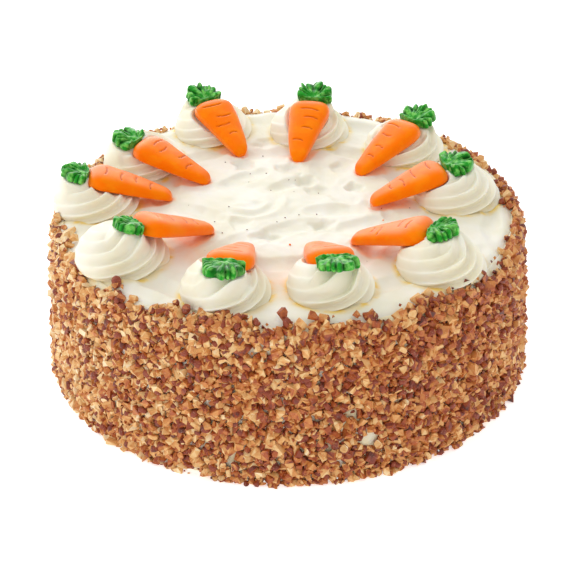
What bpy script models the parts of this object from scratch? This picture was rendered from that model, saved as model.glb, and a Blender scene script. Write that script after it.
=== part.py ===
"""Carrot cake with piped swirls and marzipan carrots.

A round cake under white cream, its side coated with chopped nuts. Ten star-tip swirls stand round the rim,
and a marzipan carrot with a green leaf leans from each swirl down on to the cream. Metres, +Z up, with the
origin at the middle of the base.
"""

import math

import bmesh
import bpy
from mathutils import Matrix, Vector

MM = 0.001
GAP = 0.3 * MM  # left between pieces that touch each other

# The cake under its cream
CREAM_TOP = 80.5 * MM
SIDE_TOP_RADIUS = 115.5 * MM
SIDE_BASE_RADIUS = 121.3 * MM
EDGE_ROUND = 6.0 * MM
TURN_STEPS = 60

# The nut coat round the side
COAT_THICKNESS = 4.2 * MM
RIM_THICKNESS = 1.1 * MM
RIM_REACH = math.radians(48)  # how far the nuts climb over the rounded top edge
RIM_STEPS = 3
COAT_UNEVENNESS = 5.0 * MM  # the texture uses about a third of it
COAT_LUMP = 12.0 * MM
COAT_HEM = 6.0 * MM  # below this height the coat keeps its round outline

# The piped swirls
SWIRL_HEIGHT = 17.5 * MM
SWIRL_RIDGES = 6
POINTS_PER_RIDGE = 4
RIDGE_DEPTH = 0.09  # of the radius
SWIRL_TURN = math.radians(180)  # how far a ridge winds from the foot to the middle
# height and radius of each ring, as shares of the swirl's height and radius
SWIRL_RINGS = ((0.0, 0.96), (0.14, 1.0), (0.36, 0.96), (0.60, 0.84), (0.80, 0.66), (0.96, 0.40))
# azimuth in degrees, distance from the middle and radius in millimetres, where the first ridge starts
SWIRLS = (
    (178.0, 97.5, 22.5, 10),
    (147.0, 91.5, 22.5, 31),
    (114.5, 99.0, 22.3, 4),
    (81.5, 88.0, 22.5, 22),
    (43.6, 90.0, 22.3, 38),
    (5.5, 88.0, 22.5, 15),
    (-41.5, 96.6, 21.4, 27),
    (-76.5, 85.4, 20.6, 6),
    (-108.2, 90.5, 21.2, 19),
    (-146.0, 95.0, 22.7, 35),
)

# The marzipan carrots, pressed in a mould with a flat back
BODY_LENGTH = 44.5 * MM
BODY_HALF_WIDTH = 11.6 * MM
BODY_THICKNESS = 9.0 * MM
WIDEST_AT = 0.82  # share of the length from the tip to the shoulder
SHOULDER_SHARE = 0.55  # half width at the shoulder's end, as a share of the widest
BODY_SECTIONS = (0.015, 0.06, 0.26, 0.54, 0.82, 0.94, 1.0)
POINTS_PER_SECTION = 12
# tip azimuth in degrees, tip distance in millimetres, heading, pitch and roll in degrees, then the
# body's length and the leaf's size against the usual
CARROTS = (
    (173.6, 59.5, 184.4, 16.8, 2, 1.00, 0.95),
    (149.6, 47.5, 154.0, 15.2, 2, 1.00, 1.00),
    (113.3, 61.5, 119.8, 18.8, -2, 0.97, 1.00),
    (83.4, 48.8, 76.8, 19.2, 0, 1.00, 1.04),
    (40.5, 49.5, 44.0, 17.4, -2, 1.00, 1.03),
    (-3.0, 42.5, 16.4, 16.0, -3, 0.94, 1.08),
    (-52.0, 50.8, -28.4, 18.0, 1, 0.98, 0.96),
    (-75.2, 48.2, -77.6, 18.4, -1, 1.00, 1.00),
    (-113.4, 50.4, -101.0, 16.4, 0, 1.00, 1.04),
    (-142.6, 46.8, -143.4, 19.0, 2, 1.00, 0.86),
)

# The leaf, a scalloped disc on a short neck
LEAF_NECK = 4.2 * MM
LEAF_WAIST = (0.9 * MM, 6.0 * MM)  # where the neck meets the disc
LEAF_MIDDLE = 4.6 * MM  # from the neck's end to the middle of the disc
LEAF_RADIUS = 9.9 * MM
LEAF_SPREAD = math.radians(112)  # how far the scallops go round, to each side
LEAF_LOBES = 9
LOBE_DEPTH = 0.13
# height above the carrot's flat back in millimetres, and size, of each layer of the leaf
LEAF_LAYERS = ((0.9, 0.90), (2.2, 1.0), (5.6, 1.0), (7.0, 0.86))

# The bed that a carrot presses into its swirl
BED_HEIGHT = 40.0 * MM
BED_MARGIN = 0.35 * MM


def clear_scene():
    for thing in list(bpy.data.objects):
        bpy.data.objects.remove(thing)


def new_collection(name):
    collection = bpy.data.collections.new(name)
    bpy.context.scene.collection.children.link(collection)
    return collection


def material(name, colour, roughness):
    made = bpy.data.materials.new(name)
    made.use_nodes = True
    shader = made.node_tree.nodes["Principled BSDF"]
    shader.inputs["Base Color"].default_value = (*colour, 1.0)
    shader.inputs["Roughness"].default_value = roughness
    shader.inputs["Metallic"].default_value = 0.0
    return made


def add_object(name, mesh, collection, finish=None):
    made = bpy.data.objects.new(name, mesh)
    collection.objects.link(made)
    if finish is not None:
        mesh.materials.append(finish)
    return made


def polar(azimuth_deg, distance, height=0.0):
    turn = math.radians(azimuth_deg)
    return Vector((distance * math.cos(turn), distance * math.sin(turn), height))


# --- turned pieces ---


def edge_point(angle, radius):
    """A point round the cake's rounded top edge, from 0 at the side to a right angle on the top."""
    x = SIDE_TOP_RADIUS - EDGE_ROUND + radius * math.cos(angle)
    z = CREAM_TOP - EDGE_ROUND + radius * math.sin(angle)
    return (x, z)


def side_radius(height):
    """The cream's radius on the straight side, which widens a little towards the base."""
    share = height / (CREAM_TOP - EDGE_ROUND)
    return SIDE_BASE_RADIUS + (SIDE_TOP_RADIUS - SIDE_BASE_RADIUS) * share


def profile_mesh(name, points, closed):
    edges = [(i, i + 1) for i in range(len(points) - 1)]
    if closed:
        edges.append((len(points) - 1, 0))
    mesh = bpy.data.meshes.new(name)
    mesh.from_pydata([(x, 0.0, z) for x, z in points], edges, [])
    return mesh


def turn_profile(thing):
    screw = thing.modifiers.new("turn", "SCREW")
    screw.axis = "Z"
    screw.angle = math.tau
    screw.steps = TURN_STEPS
    screw.render_steps = TURN_STEPS
    screw.use_merge_vertices = True
    screw.merge_threshold = 0.00001
    screw.use_smooth_shade = True


def make_cake(collection, finish):
    """The cake and its cream: one solid, turned."""
    edge_turns = [math.radians(90 - 90 * i / 4) for i in range(5)]
    points = [(0.0, CREAM_TOP)]
    points += [edge_point(turn, EDGE_ROUND) for turn in edge_turns]
    points += [(SIDE_BASE_RADIUS, 0.0), (0.0, 0.0)]
    cake = add_object("cake", profile_mesh("cake", points, closed=False), collection, finish)
    turn_profile(cake)


def make_nut_coat(collection, finish):
    """The coat of chopped nuts: a closed ring round the side whose outer face is uneven."""
    turns = [RIM_REACH * (RIM_STEPS - i) / RIM_STEPS for i in range(RIM_STEPS + 1)]
    full = EDGE_ROUND + GAP
    outer = []
    for turn in turns:
        thickness = COAT_THICKNESS + (RIM_THICKNESS - COAT_THICKNESS) * turn / RIM_REACH
        outer.append(edge_point(turn, full + thickness))
    for height in (50 * MM, 25 * MM, COAT_HEM, 0.0):
        outer.append((side_radius(height) + GAP + COAT_THICKNESS, height))
    inner = [(side_radius(0.0) + GAP, 0.0)]
    inner += [edge_point(turn, full) for turn in reversed(turns)]
    points = outer + inner
    coat = add_object("nut_coating", profile_mesh("nut_coating", points, closed=True), collection, finish)
    lumpy = coat.vertex_groups.new(name="lumpy")
    for i, turn in enumerate(turns):
        lumpy.add([i], 1.0 - 0.85 * turn / RIM_REACH, "REPLACE")
    lumpy.add(list(range(len(turns), len(outer) - 1)), 1.0, "REPLACE")
    turn_profile(coat)
    lumps = bpy.data.textures.new("coat_lumps", "CLOUDS")
    lumps.noise_scale = COAT_LUMP
    uneven = coat.modifiers.new("uneven", "DISPLACE")
    uneven.texture = lumps
    uneven.texture_coords = "LOCAL"
    uneven.strength = COAT_UNEVENNESS
    uneven.mid_level = 0.5
    uneven.vertex_group = lumpy.name


# --- lofted pieces ---


def loft(name, sections):
    """A closed skin through sections of equal point count, with a flat cap at each end."""
    shape = bmesh.new()
    rings = [[shape.verts.new(point) for point in section] for section in sections]
    count = len(rings[0])
    for low, high in zip(rings, rings[1:]):
        for i in range(count):
            j = (i + 1) % count
            shape.faces.new((low[i], low[j], high[j], high[i]))
    shape.faces.new(reversed(rings[0]))
    shape.faces.new(rings[-1])
    bmesh.ops.recalc_face_normals(shape, faces=shape.faces)
    mesh = bpy.data.meshes.new(name)
    shape.to_mesh(mesh)
    shape.free()
    return mesh


def swirl_ring(height_share, radius_share, radius, start):
    """One ring of a swirl: a star whose points wind further round the nearer it is to the middle."""
    count = SWIRL_RIDGES * POINTS_PER_RIDGE
    wound = start + SWIRL_TURN * height_share / SWIRL_RINGS[-1][0]
    ring = []
    for i in range(count):
        crest = math.cos(math.tau * i / POINTS_PER_RIDGE)  # 1 on a ridge, -1 in a valley
        reach = radius * radius_share * (1.0 - RIDGE_DEPTH * (1.0 - crest) / 2)
        turn = wound + math.tau * i / count
        ring.append((reach * math.cos(turn), reach * math.sin(turn), SWIRL_HEIGHT * height_share))
    return ring


def make_swirl(number, collection, finish):
    azimuth, distance, radius, start = SWIRLS[number]
    sections = [swirl_ring(h, r, radius * MM, math.radians(start)) for h, r in SWIRL_RINGS]
    name = f"rosette_{number + 1:02d}"
    swirl = add_object(name, loft(name, sections), collection, finish)
    swirl.location = polar(azimuth, distance * MM, CREAM_TOP + GAP)
    return swirl


def taper(share, start, start_length):
    """From a blunt tip, start as wide as the whole, nearly straight up to 1 at the widest place."""
    blunt = min(1.0, share / start_length) ** 0.5
    return start * blunt + (1.0 - start) * min(share / WIDEST_AT, 1.0) ** 0.78


def body_half_width(share):
    """The carrot's half width at a share of its length from the tip."""
    fall = max(0.0, (share - WIDEST_AT) / (1.0 - WIDEST_AT))
    return BODY_HALF_WIDTH * taper(share, 0.33, 0.05) * (1.0 - (1.0 - SHOULDER_SHARE) * fall**2.5)


def body_thickness(share):
    """The carrot's thickness over its flat back at a share of its length from the tip."""
    fall = max(0.0, (share - WIDEST_AT) / (1.0 - WIDEST_AT))
    return BODY_THICKNESS * taper(share, 0.50, 0.06) * (1.0 - 0.40 * fall**2.5)


def body_section(share, length):
    """A section of the body: rounded over the top, nearly flat at the back."""
    half = body_half_width(share)
    thick = body_thickness(share)
    middle = 0.4 * thick
    section = []
    for i in range(POINTS_PER_SECTION):
        turn = math.tau * (i + 0.5) / POINTS_PER_SECTION
        across = math.copysign(abs(math.cos(turn)) ** 0.8, math.cos(turn))
        rise = math.sin(turn)
        if rise >= 0:
            z = middle + (thick - middle) * rise**0.7
        else:
            z = middle - middle * abs(rise) ** 0.45
        section.append((share * length, half * across, z))
    return section


def leaf_outline():
    """Half of the leaf from above, from its far end round to the neck."""
    points = []
    for i in range(LEAF_LOBES + 1):
        turn = LEAF_SPREAD * i / LEAF_LOBES
        reach = LEAF_RADIUS * (1.0 - LOBE_DEPTH * (i % 2))
        points.append((LEAF_MIDDLE + reach * math.cos(turn), reach * math.sin(turn)))
    return points + [LEAF_WAIST, (0.0, LEAF_NECK)]


def leaf_sections(length, leaf_size):
    half = leaf_outline()
    outline = half + [(x, -y) for x, y in reversed(half[1:])]
    sections = []
    for height, layer in LEAF_LAYERS:
        section = []
        for x, y in outline:
            along = (LEAF_MIDDLE + (x - LEAF_MIDDLE) * layer) * leaf_size
            section.append((length + GAP + along, y * layer * leaf_size, height * leaf_size * MM))
        sections.append(section)
    return sections


def carrot_place(number):
    """Where a carrot lies: its tip on the cream, its length running up on to its swirl."""
    azimuth, distance, heading, pitch, roll = CARROTS[number][:5]
    tip_half_width = body_half_width(0.09)
    lift = GAP + tip_half_width * math.sin(math.radians(abs(roll)))
    place = Matrix.Translation(polar(azimuth, distance * MM, CREAM_TOP + lift))
    place @= Matrix.Rotation(math.radians(heading), 4, "Z")
    place @= Matrix.Rotation(-math.radians(pitch), 4, "Y")
    return place @ Matrix.Rotation(math.radians(roll), 4, "X")


def bed_outline(length, leaf_size):
    """The carrot and its leaf from above, a little larger all round."""
    half = [(i / 10 * length, body_half_width(i / 10) + BED_MARGIN) for i in range(1, 11)]
    for degrees in (112, 80, 48, 16):
        turn = math.radians(degrees)
        reach = LEAF_RADIUS * leaf_size / math.cos(math.radians(16)) + BED_MARGIN
        middle = length + GAP + LEAF_MIDDLE * leaf_size
        half.append((middle + reach * math.cos(turn), reach * math.sin(turn)))
    return half + [(x, -y) for x, y in reversed(half)]


def make_carrot(number, collection, body_finish, leaf_finish):
    length, leaf_size = BODY_LENGTH * CARROTS[number][5], CARROTS[number][6]
    sections = [body_section(share, length) for share in BODY_SECTIONS]
    body_name = f"carrot_{number + 1:02d}"
    body = add_object(body_name, loft(body_name, sections), collection, body_finish)
    body.matrix_world = carrot_place(number)
    leaf_name = f"carrot_leaf_{number + 1:02d}"
    leaf = add_object(leaf_name, loft(leaf_name, leaf_sections(length, leaf_size)), collection, leaf_finish)
    leaf.matrix_world = carrot_place(number)


def press_bed(number, swirl, cutters):
    """Cuts the carrot's bed into its swirl."""
    outline = bed_outline(BODY_LENGTH * CARROTS[number][5], CARROTS[number][6])
    sections = [[(x, y, z) for x, y in outline] for z in (-GAP, BED_HEIGHT)]
    name = f"bed_{number + 1:02d}"
    bed = add_object(name, loft(name, sections), cutters)
    bed.matrix_world = carrot_place(number)
    bed.hide_render = True
    bed.display_type = "WIRE"
    cut = swirl.modifiers.new("bed", "BOOLEAN")
    cut.operation = "DIFFERENCE"
    cut.object = bed


def main():
    clear_scene()
    parts = new_collection("carrot_cake")
    cutters = new_collection("cutters")
    cream = material("cream", (0.88, 0.82, 0.69), 0.55)
    nuts = material("chopped_nuts", (0.56, 0.30, 0.13), 0.7)
    marzipan = material("orange_marzipan", (0.95, 0.20, 0.015), 0.45)
    leaf = material("green_marzipan", (0.06, 0.29, 0.06), 0.45)
    make_cake(parts, cream)
    make_nut_coat(parts, nuts)
    for number in range(len(SWIRLS)):
        swirl = make_swirl(number, parts, cream)
        make_carrot(number, parts, marzipan, leaf)
        press_bed(number, swirl, cutters)


main()
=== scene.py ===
# %% [markdown]
# # Dressing a carrot cake
#
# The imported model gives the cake's true sizes. Each solid could keep its own mesh and only get a
# material, but food shows its making: knife marks, piped ridges, cracked nuts. So each piece is
# modelled again, finer, in the same place, and then stands for its solid.

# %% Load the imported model
import math

import bpy
import numpy as np
from mathutils import Matrix, Vector, noise


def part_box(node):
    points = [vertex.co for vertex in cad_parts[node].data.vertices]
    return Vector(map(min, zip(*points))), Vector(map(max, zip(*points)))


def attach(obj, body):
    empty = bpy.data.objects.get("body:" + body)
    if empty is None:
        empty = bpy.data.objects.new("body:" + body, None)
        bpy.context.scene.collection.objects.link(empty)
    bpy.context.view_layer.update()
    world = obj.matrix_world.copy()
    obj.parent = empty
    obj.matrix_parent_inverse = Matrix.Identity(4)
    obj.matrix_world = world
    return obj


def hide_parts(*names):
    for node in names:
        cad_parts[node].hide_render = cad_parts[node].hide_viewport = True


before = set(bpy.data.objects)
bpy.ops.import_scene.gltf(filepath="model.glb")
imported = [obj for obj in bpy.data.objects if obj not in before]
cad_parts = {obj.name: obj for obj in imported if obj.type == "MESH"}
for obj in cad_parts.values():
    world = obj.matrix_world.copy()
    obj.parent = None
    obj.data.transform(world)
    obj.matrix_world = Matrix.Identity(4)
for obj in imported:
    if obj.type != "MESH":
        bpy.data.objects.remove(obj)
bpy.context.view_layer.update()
bpy.ops.object.select_all(action="DESELECT")

# %% [markdown]
# ## Sizes
#
# The frame knows the big sizes: how high the cream lies, and how many swirls there are. What it
# cannot know is how each piece was laid, so those places are kept here as a decorator would say
# them: how far round, how far out, which way it points.

# %% Name the sizes
MM = 0.001
HAIR = 0.01 * MM  # what is closer than this lies at the same height
cream_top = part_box("cake")[1].z
base_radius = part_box("cake")[1].x
top_radius = base_radius - 5.8 * MM
edge_round = 6.0 * MM
gap = 0.3 * MM
swirl_count = sum(name.startswith("rosette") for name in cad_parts)
print(f"cream {cream_top / MM:.1f} mm high, {base_radius / MM:.1f} mm in radius, {swirl_count} swirls")

# %% Place the swirls and the carrots
# azimuth in degrees, distance from the middle and radius in mm, where the first ridge starts
SWIRLS = (
    (178.0, 97.5, 22.5, 10), (147.0, 91.5, 22.5, 31), (114.5, 99.0, 22.3, 4),
    (81.5, 88.0, 22.5, 22), (43.6, 90.0, 22.3, 38), (5.5, 88.0, 22.5, 15),
    (-41.5, 96.6, 21.4, 27), (-76.5, 85.4, 20.6, 6), (-108.2, 90.5, 21.2, 19),
    (-146.0, 95.0, 22.7, 35),
)
# the tip's azimuth and distance, then heading, pitch and roll in degrees, then how long the body is
# and how big its leaf is against the others, and how far the leaf's end droops in mm
CARROTS = (
    (173.6, 59.5, 184.4, 16.8, 2, 1.00, 0.95, 0.9), (149.6, 47.5, 154.0, 15.2, 2, 1.00, 1.00, 0.6),
    (113.3, 61.5, 119.8, 18.8, -2, 0.97, 1.00, 0.3), (83.4, 48.8, 76.8, 19.2, 0, 1.00, 1.04, 0.2),
    (40.5, 49.5, 44.0, 17.4, -2, 1.00, 1.03, 0.6), (-3.0, 42.5, 16.4, 16.0, -3, 0.94, 1.08, 0.9),
    (-52.0, 50.8, -28.4, 18.0, 1, 0.98, 0.96, 0.9), (-75.2, 48.2, -77.6, 18.4, -1, 1.00, 1.00, 1.2),
    (-113.4, 50.4, -101.0, 16.4, 0, 1.00, 1.04, 1.8), (-142.6, 46.8, -143.4, 19.0, 2, 1.00, 0.86, 0.8),
)
LONG, LEAF, DROOP = 5, 6, 7  # where the last three stand in a row


def round_the_cake(azimuth, distance, height=0.0):
    """A point given by its azimuth in degrees, its distance from the middle and its height."""
    turn = math.radians(azimuth)
    return Vector((distance * math.cos(turn), distance * math.sin(turn), height))


# %% [markdown]
# ## Hands and tools
#
# Blender's operators act on whatever is selected, which is how one models by hand. A few small
# helpers do the hand's work: take hold of one piece, pick the faces to work on, refine it, and set
# it down on the cake.

# %% Take hold of a piece
def hold(piece):
    """Leaves edit mode and makes this the one selected piece."""
    if bpy.context.mode != "OBJECT":
        bpy.ops.object.mode_set(mode="OBJECT")
    bpy.ops.object.select_all(action="DESELECT")
    piece.select_set(True)
    bpy.context.view_layer.objects.active = piece


def name_it(name):
    """The primitive that was just added, under its own name."""
    piece = bpy.context.object
    piece.name = piece.data.name = name
    return piece


def pick(piece, kind, test):
    """Selects the EDGE or FACE elements that pass the test, and opens edit mode on them."""
    hold(piece)
    mesh = piece.data
    bpy.context.tool_settings.mesh_select_mode = [kind == k for k in ("VERT", "EDGE", "FACE")]
    for group in (mesh.vertices, mesh.edges, mesh.polygons):
        group.foreach_set("select", np.zeros(len(group), bool))
    if kind == "FACE":
        for face in mesh.polygons:
            face.select = test(face.center)
    else:
        for edge in mesh.edges:
            edge.select = all(test(mesh.vertices[i].co) for i in edge.vertices)
    bpy.ops.object.mode_set(mode="EDIT")


# %% Shape it and set it down
def refine(piece, levels):
    """Rounds and refines the mesh with a Subdivision Surface, and makes the result the mesh."""
    hold(piece)
    modifier = piece.modifiers.new("subdivision", "SUBSURF")
    modifier.levels = modifier.render_levels = levels
    bpy.ops.object.modifier_apply(modifier=modifier.name)


def face_outwards():
    """Turns every face of the piece in hand to the outside."""
    bpy.ops.mesh.select_all(action="SELECT")
    bpy.ops.mesh.normals_make_consistent(inside=False)


def slice_level(height):
    """Cuts an edge loop round the piece in hand at this height."""
    bpy.ops.mesh.select_all(action="SELECT")
    bpy.ops.mesh.bisect(plane_co=(0, 0, height), plane_no=(0, 0, 1))


def draw_up(name, corners, heights, sizes):
    """Extrudes a disc upwards, ring by ring, to these heights and sizes, and closes it in a point."""
    bpy.ops.mesh.primitive_circle_add(vertices=corners, radius=sizes[0], fill_type="NGON")
    piece = name_it(name)
    pick(piece, "FACE", lambda middle: True)
    for step in range(1, len(sizes)):
        rise = heights[step] - heights[step - 1]
        share = sizes[step] / sizes[step - 1]
        bpy.ops.mesh.extrude_region_move(TRANSFORM_OT_translate={"value": (0, 0, rise)})
        bpy.ops.transform.resize(value=(share, share, 1), center_override=(0, 0, 0))
    bpy.ops.mesh.poke()
    face_outwards()
    hold(piece)
    print(f"one plain {name} has {len(piece.data.polygons)} faces")
    return piece


def copy_of(master, name):
    """A copy of the piece with a mesh of its own."""
    twin = master.copy()
    twin.data = master.data.copy()
    twin.name = twin.data.name = name
    bpy.context.scene.collection.objects.link(twin)
    return twin


def set_down(piece, finish, slot_name, *stands_for, smooth=True):
    """Bakes the piece's place into its mesh, gives it its finish and lets it ride on the cake."""
    hold(piece)
    if smooth:
        bpy.ops.object.shade_smooth()
    bpy.ops.object.transform_apply(location=True, rotation=True, scale=True)
    piece.data.materials.clear()
    piece.data.materials.append(finish)
    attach(piece, "root")
    if stands_for:
        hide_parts(*stands_for)


# %% Move many points at once
def points_of(piece):
    flat = np.empty(len(piece.data.vertices) * 3, np.float32)
    piece.data.vertices.foreach_get("co", flat)
    return flat.reshape(-1, 3).astype(float)


def set_points(piece, points):
    piece.data.vertices.foreach_set("co", points.astype(np.float32).ravel())
    piece.data.update()


def mark(piece, name, values, domain="POINT"):
    """Writes one number per point or face, which a finish can read by its name."""
    layer = piece.data.attributes.new(name, "FLOAT", domain)
    layer.data.foreach_set("value", np.asarray(values, np.float32))


def in_frame(place, points):
    """The points as seen from a piece laid at this place."""
    back = np.array(place.inverted())
    return points @ back[:3, :3].T + back[:3, 3]


def out_of_frame(place, points):
    there = np.array(place)
    return points @ there[:3, :3].T + there[:3, 3]


def from_spot(points, azimuth, distance):
    """How far along X and Y the points lie from a spot on the cake, given in degrees and mm."""
    spot = round_the_cake(azimuth, distance * MM)
    return points[:, 0] - spot.x, points[:, 1] - spot.y


def ease(low, high, value):
    """0 at low, 1 at high and a soft S between, whichever of the two is greater."""
    share = np.clip((value - low) / (high - low), 0.0, 1.0)
    return share * share * (3.0 - 2.0 * share)


def lumps(points, size, seed):
    """Soft random swells between about -1 and 1, as wide as size."""
    shift = Vector((seed * 7.3, seed * 3.1, seed * 5.7))
    return np.array([noise.noise(Vector(point) / size + shift) for point in points])


# %% [markdown]
# ## Mixing finishes
#
# A finish is a small circuit of nodes, written here as arithmetic: a Wire is the output of a node,
# and adding or multiplying Wires adds Math nodes. A Finish adds any other node, and its last step
# plugs everything into one Principled shader.

# %% A wire that can be reckoned with
class Wire:
    def __init__(self, finish, socket):
        self.finish = finish
        self.socket = socket

    def sum_of(self, operation, left, right):
        return self.finish.node("ShaderNodeMath", {"operation": operation}, {0: left, 1: right})

    def __add__(self, other):
        return self.sum_of("ADD", self, other)

    def __sub__(self, other):
        return self.sum_of("SUBTRACT", self, other)

    def __rsub__(self, other):
        return self.sum_of("SUBTRACT", other, self)

    def __mul__(self, other):
        return self.sum_of("MULTIPLY", self, other)

    __radd__ = __add__
    __rmul__ = __mul__


# %% A finish that adds its own nodes
def paint(red, green, blue):
    """A colour as a paint chart gives it, 0 to 255, turned into the light that Blender mixes."""
    shares = [value / 255 for value in (red, green, blue)]
    return (*[s / 12.92 if s <= 0.04045 else ((s + 0.055) / 1.055) ** 2.4 for s in shares], 1.0)


class Finish:
    def __init__(self, name):
        self.material = bpy.data.materials.new(name)
        self.material.use_nodes = True
        self.tree = self.material.node_tree
        self.shader = self.tree.nodes["Principled BSDF"]
        self.place = self.node("ShaderNodeTexCoord", {}, {}, output="Object")

    def node(self, kind, settings, values, output=0):
        """Adds a node, makes its settings, then plugs or sets its sockets."""
        node = self.tree.nodes.new(kind)
        for setting, value in settings.items():
            if setting == "stops":
                self.set_stops(node.color_ramp.elements, value)
            else:
                setattr(node, setting, value)
        for socket, value in values.items():
            self.plug(node.inputs[socket], value)
        return Wire(self, node.outputs[output])

    def plug(self, socket, value):
        if isinstance(value, Wire):
            self.tree.links.new(value.socket, socket)
        else:
            socket.default_value = value

    def set_stops(self, elements, stops):
        while len(elements) < len(stops):
            elements.new(1.0)
        for element, (position, colour) in zip(elements, stops):
            element.position = position
            element.color = colour

    def grain(self, size, detail=2.0, roughness=0.5, distortion=0.0):
        """Noise whose lumps are about as wide as size, in metres, between 0 and 1."""
        values = {"Vector": self.place, "Scale": 1 / size, "Detail": detail,
                  "Roughness": roughness, "Distortion": distortion}
        return self.node("ShaderNodeTexNoise", {}, values)

    def cells(self, size):
        """The distance to the nearest of many scattered dots, about size apart."""
        values = {"Vector": self.place, "Scale": 1 / size}
        return self.node("ShaderNodeTexVoronoi", {}, values, "Distance")

    def marked(self, name):
        return self.node("ShaderNodeAttribute", {"attribute_name": name}, {}, output="Fac")

    def between(self, value, low, high):
        """0 where the value is low, 1 where it is high."""
        return self.node("ShaderNodeMapRange", {"interpolation_type": "SMOOTHSTEP"},
                         {0: value, 1: low, 2: high})

    def ramp(self, value, stops):
        """The colour of a chart at this value, mixed from the two stops beside it."""
        return self.node("ShaderNodeValToRGB", {"stops": stops}, {0: value})

    def blend(self, amount, first, second):
        return self.node("ShaderNodeMix", {"data_type": "RGBA"},
                         {0: amount, 6: first, 7: second}, output=2)

    def bump(self, height, distance, strength):
        return self.node("ShaderNodeBump", {},
                         {"Height": height, "Distance": distance, "Strength": strength})

    def done(self, **sockets):
        """Plugs the finished values into the shader; base_color means its Base Color socket."""
        for name, value in sockets.items():
            self.plug(self.shader.inputs[name.replace("_", " ").title().replace("Ior", "IOR")], value)
        return self.material


# %% [markdown]
# ## The cream
#
# Whipped cream is nearly white but never grey: light goes into it, scatters, and comes out warm,
# which Subsurface does. The piped cream is silkier than the spread cream. Some shade is painted
# in: golden in the creases at the swirls' feet and under the nuts, darker in the swirls' valleys.
# Beside the carrots an orange tint is partly their dye and partly painted light thrown from them.
# These colours follow marks that the shapes leave, so they sit exactly in the creases.

# %% Mix the cream
def cream_finish(name, body, shadow, silk):
    cream = Finish(name)
    cloud = cream.grain(22 * MM, detail=3.0)
    colour = cream.blend(cream.between(cloud, 0.35, 0.7), body, shadow)
    patchy = cream.between(cream.grain(6 * MM, detail=2.0), 0.42, 0.6)
    # painted shade: a darker cream in the valleys between the swirls' ridges
    colour = cream.blend(cream.marked("fold"), colour, paint(222, 206, 172))
    # painted shade: a golden shade in the creases, at the swirls' feet and under the nuts
    gold = cream.marked("crease") * (0.3 + 0.7 * patchy)
    colour = cream.blend(gold, colour, paint(244, 208, 98))
    # beside the carrots an orange tint, partly their dye and partly painted orange light thrown from them
    bleed = cream.marked("bleed") * (0.4 + 0.6 * cream.grain(3 * MM))
    colour = cream.blend(bleed, colour, paint(255, 168, 92))
    fine = cream.grain(1.1 * MM, detail=4.0, roughness=0.6)
    drag = cream.grain(5 * MM, detail=2.0, distortion=1.2)
    height = drag * (1.0 - silk) + fine * 0.22
    return cream.done(
        base_color=colour,
        roughness=0.42 + 0.14 * cloud,
        subsurface_weight=0.35,
        subsurface_radius=(1.0, 0.84, 0.56),
        subsurface_scale=3.0 * MM,
        normal=cream.bump(height, 0.5 * MM, 0.35),
    )


spread_cream = cream_finish("spread_cream", paint(236, 233, 221), paint(229, 226, 206), silk=0.3)
piped_cream = cream_finish("piped_cream", paint(244, 241, 227), paint(238, 233, 210), silk=0.75)
print("mixed", spread_cream.name, "and", piped_cream.name)

# %% [markdown]
# ## Where each carrot lies
#
# The cream is shaped by what is pressed into it, so the carrots' places and outlines come first.
# A carrot's own frame starts at its tip, on its flat back, with X running up to the leaf.

# %% Describe a carrot
CARROT_LENGTH = 44.5 * MM
CARROT_HALF_WIDTH = 11.6 * MM
CARROT_THICKNESS = 9.0 * MM
WIDEST_AT = 0.82  # share of the length from the tip
LEAF_NECK = 4.2 * MM
LEAF_MIDDLE = 4.6 * MM  # from the shoulder to the middle of the leaf's round part
LEAF_RADIUS = 9.9 * MM
LEAF_SPREAD = math.radians(114)  # how far round its edge goes, to each side
LEAF_SUNK = 1.5 * MM  # how high the cream still stands under a leaf, over the carrot's back
BODY_SUNK = 0.25 * MM  # how far below a body's back the cream stays
SWELL = 0.5 * MM  # how much the cream beside a carrot swells
SWELL_AT, SWELL_WIDTH = 1.2 * MM, 1.4 * MM  # how far from the outline, and how wide the swell is
BRIM = 0.9 * MM  # how high cream may stand right beside a body
PRESS_EDGE = (-1.6 * MM, -0.1 * MM)  # inside the outline, from fully pressed to untouched
CLING_FALL = 1.2  # how steeply cream falls away from a leaf that it clings to
# the orange tint beside a body, partly dye and partly painted bounce light, reaches this far
DYE_AND_BOUNCE_SPREAD = (-0.5 * MM, 2.2 * MM)  # from the outline, from full colour to none


def carrot_size(share, whole, start, start_length, lost):
    """From a blunt tip up to the whole size at the widest place, then some is lost at the shoulder."""
    blunt = np.minimum(1.0, share / start_length) ** 0.5
    taper = start * blunt + (1.0 - start) * np.minimum(share / WIDEST_AT, 1.0) ** 0.78
    fall = np.clip((share - WIDEST_AT) / (1.0 - WIDEST_AT), 0.0, 1.0)
    return whole * taper * (1.0 - lost * fall**2.5)


def carrot_half_width(share):
    """Half width along the body, where 0 is the tip and 1 the shoulder's end."""
    return carrot_size(share, CARROT_HALF_WIDTH, 0.28, 0.05, 0.45)


def carrot_thickness(share):
    return carrot_size(share, CARROT_THICKNESS, 0.50, 0.06, 0.40)


def carrot_place(number):
    azimuth, distance, heading, pitch, roll = CARROTS[number][:5]
    lift = gap + float(carrot_half_width(0.09)) * math.sin(math.radians(abs(roll)))
    place = Matrix.Translation(round_the_cake(azimuth, distance * MM, cream_top + lift))
    place @= Matrix.Rotation(math.radians(heading), 4, "Z")
    place @= Matrix.Rotation(-math.radians(pitch), 4, "Y")
    return place @ Matrix.Rotation(math.radians(roll), 4, "X")


def leaf_droop(number, along, across):
    """How far the leaf bends down under its own weight, at its end and at its sides."""
    droop = CARROTS[number][DROOP] * MM
    return droop * ((np.clip(along, 0, None) / (14 * MM)) ** 2 + 0.7 * (across / (10 * MM)) ** 2)


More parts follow.
